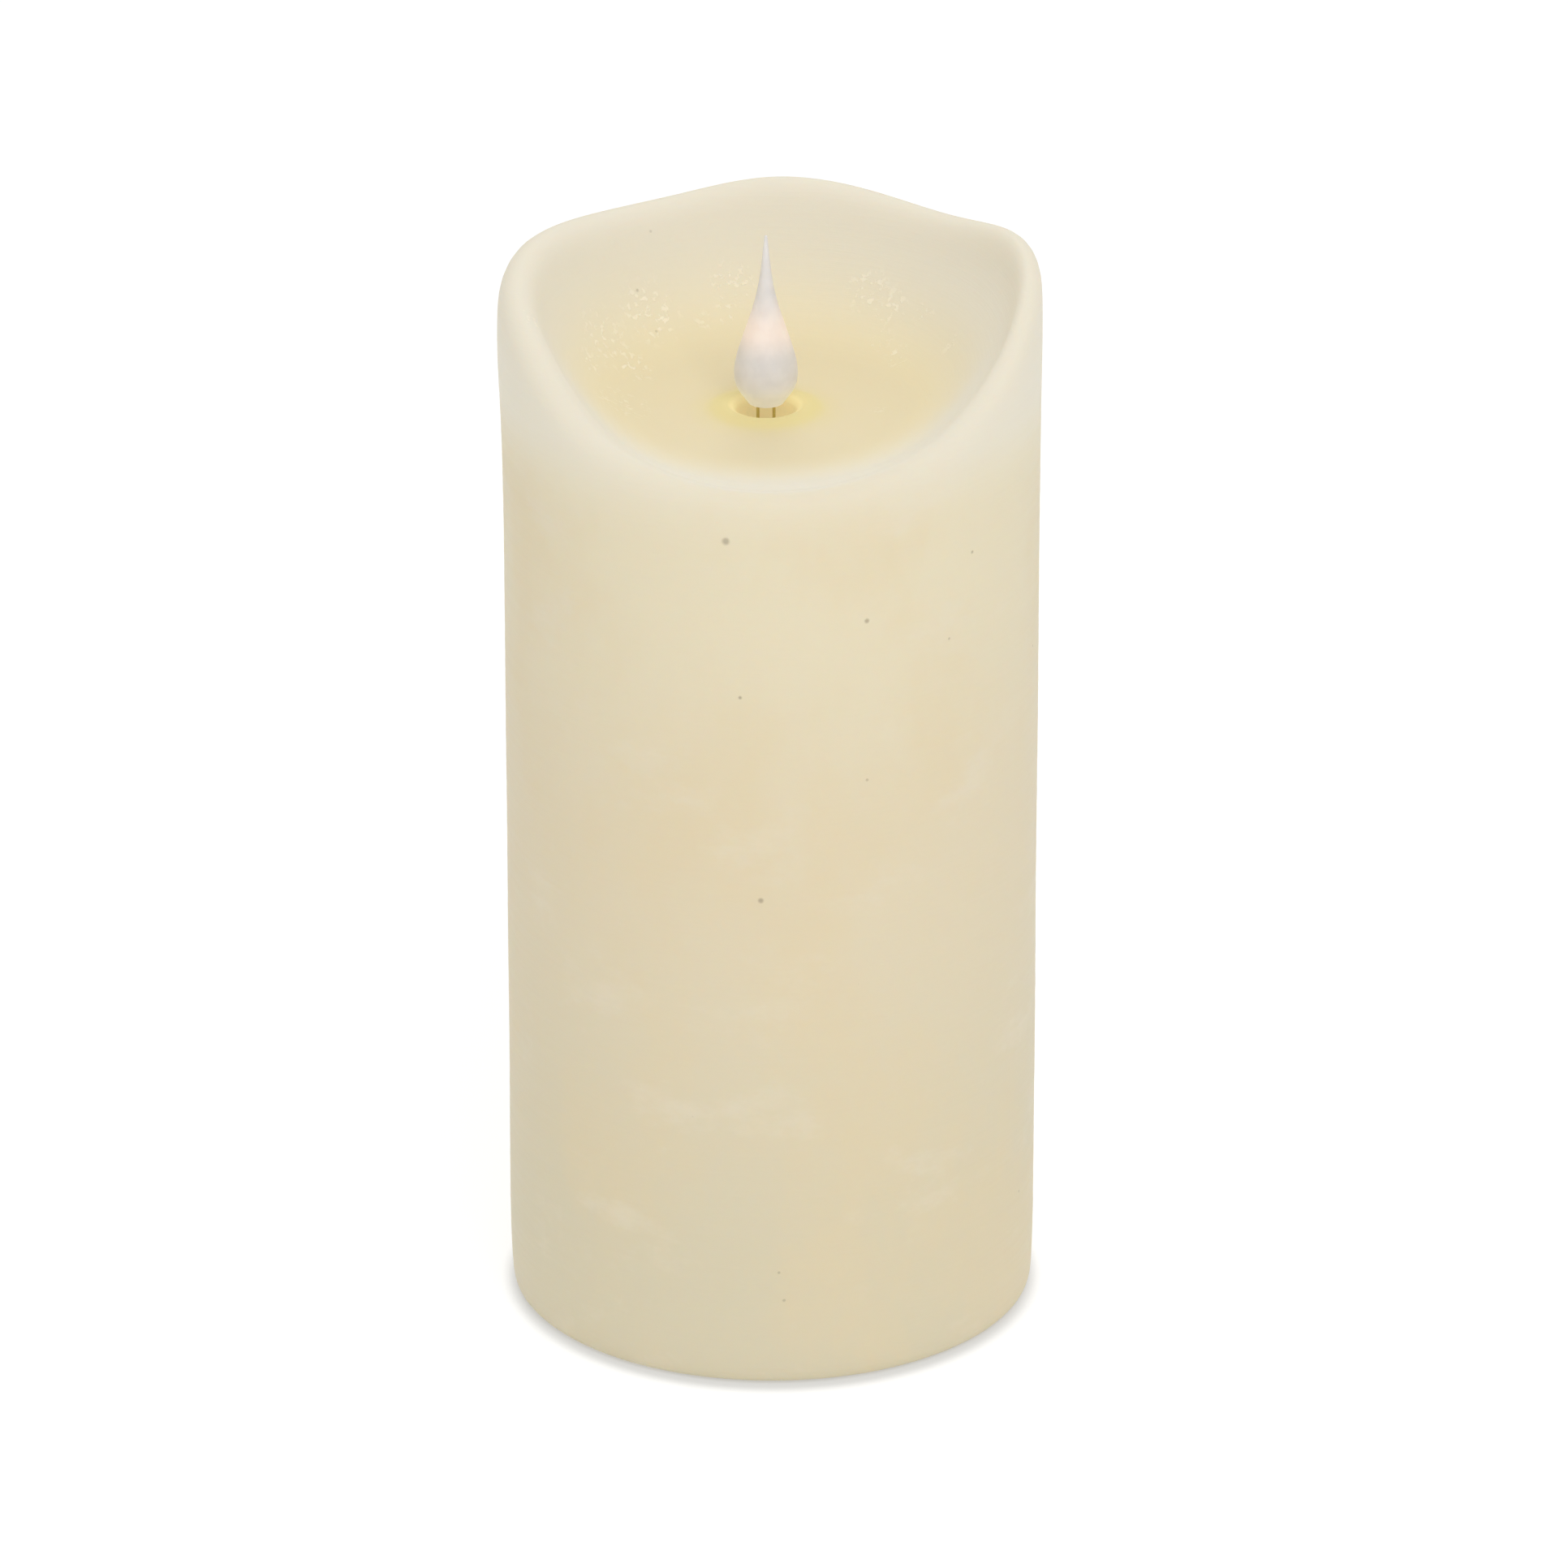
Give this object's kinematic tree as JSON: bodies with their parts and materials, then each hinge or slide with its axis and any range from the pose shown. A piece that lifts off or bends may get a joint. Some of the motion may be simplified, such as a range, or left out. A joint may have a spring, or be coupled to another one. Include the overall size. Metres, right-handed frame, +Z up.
{
  "type": "flameless led candle",
  "caption": "Ivory wax pillar candle with a melted wavy rim and an LED flame, over a plastic core with a hinged battery door, slide switch and timer board.",
  "frame": {"origin": "centre of the circle that the candle stands on, at the bottom of its feet", "axes": "+Z up; the low part of the rim faces -Y; +X to the right of a viewer who faces the low rim"},
  "size_m": [0.0864, 0.0854, 0.181],
  "materials": {
    "wax": "ivory paraffin wax, satin, slightly translucent",
    "flame": "frosted translucent white",
    "lens": "clear warm-tinted epoxy",
    "lead_wire": "tinned steel lead",
    "sleeve": "shrink sleeve",
    "core_plastic": "ivory moulded plastic",
    "base_plastic": "ivory moulded plastic, fine spark texture",
    "foot_rubber": "soft translucent grey",
    "screw_steel": "zinc plated",
    "cell_jacket": "printed jacket, plain, satin",
    "contact_nickel": "nickel plated",
    "switch_metal": "tinned, satin",
    "insulator": "phenolic board",
    "contact_brass": "plain brass",
    "switch_plastic": "moulded black",
    "board": "green solder mask",
    "chip": "moulded black",
    "crystal_can": "drawn metal can",
    "capacitor_can": "sleeved can",
    "wire_red": "soft insulation",
    "wire_black": "soft insulation",
    "wire_grey": "soft insulation"
  },
  "bodies": {
    "candle": {"wax_pillar": "wax", "flame_diffuser": "flame", "led_lens": "lens", "led_leads": "lead_wire", "lead_sleeves": "sleeve", "flame_socket": "core_plastic", "flame_stem": "core_plastic", "core_can": "core_plastic", "base_housing": "base_plastic", "rubber_feet": "foot_rubber", "base_screws": "screw_steel", "board_screws": "screw_steel", "switch_screws": "screw_steel", "battery_front": "cell_jacket", "battery_rear": "cell_jacket", "positive_contact": "contact_nickel", "negative_contact": "contact_nickel", "link_contact": "contact_nickel", "link_spring": "contact_nickel", "negative_spring": "contact_nickel", "switch_frame": "switch_metal", "switch_insulator": "insulator", "switch_terminals": "contact_brass", "circuit_board": "board", "timer_chip": "chip", "quartz_crystal": "crystal_can", "chip_resistors": "chip", "electrolytic_capacitor": "capacitor_can", "battery_wire_red": "wire_red", "battery_wire_black": "wire_black", "led_wire_red": "wire_red", "led_wire_black": "wire_black", "switch_wires": "wire_grey"},
    "battery_door": {"battery_door": "base_plastic"},
    "switch_lever": {"switch_slider": "switch_plastic", "switch_wiper": "contact_brass"}
  },
  "joints": [
    {"name": "battery_door_hinge", "type": "hinge", "parent": "candle", "child": "battery_door", "pos_m": [-0.031, 0, 0.0027], "axis": [0, 1, 0], "range_deg": [0, 100]},
    {"name": "switch_slide", "type": "slide", "parent": "candle", "child": "switch_lever", "axis": [1, 0, 0], "range_m": [0, 0.004]}
  ]
}
